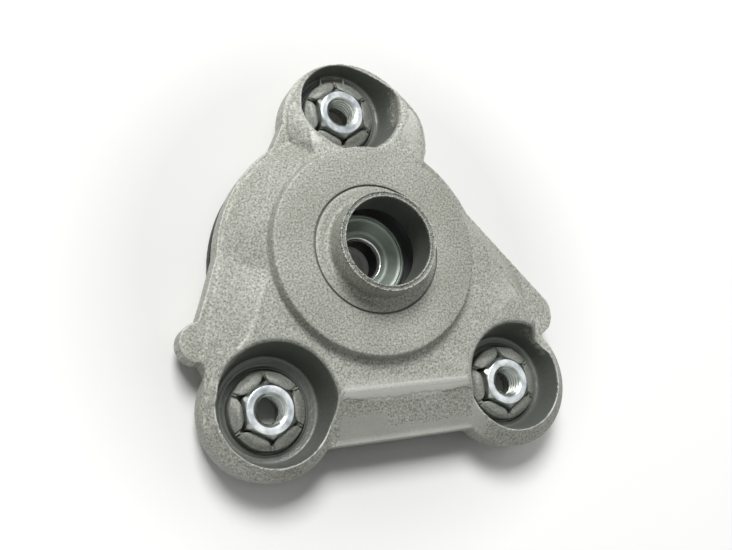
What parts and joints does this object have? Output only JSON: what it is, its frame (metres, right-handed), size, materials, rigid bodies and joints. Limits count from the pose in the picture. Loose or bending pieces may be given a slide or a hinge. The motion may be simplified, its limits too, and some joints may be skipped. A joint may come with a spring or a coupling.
{
  "type": "strut mount",
  "caption": "Upper suspension strut mount: die-cast three-armed housing with captive nuts, a bearing seat with a collar, and a bonded rubber bush for the piston rod.",
  "frame": {"origin": "on the strut axis, in the plane of the three feet that bolt to the body", "axes": "+Z along the strut axis, from the body towards the strut; X parallel to the line through the two lower bolts; +Y towards the third bolt"},
  "size_m": [0.1342, 0.1378, 0.036],
  "materials": {
    "cast_aluminium": "shot blasted",
    "zinc_plated_steel": "zinc plated",
    "pressed_steel": "dull zinc plated",
    "black_rubber": "matt moulded"
  },
  "bodies": {
    "root": {"housing": "cast_aluminium", "nut_left": "zinc_plated_steel", "nut_right": "zinc_plated_steel", "nut_top": "zinc_plated_steel", "outer_ring": "pressed_steel", "closing_plate": "pressed_steel", "dished_washer": "pressed_steel", "core_sleeve": "pressed_steel", "rear_washer": "pressed_steel", "rubber_bush": "black_rubber", "body_seal": "black_rubber"}
  },
  "joints": []
}
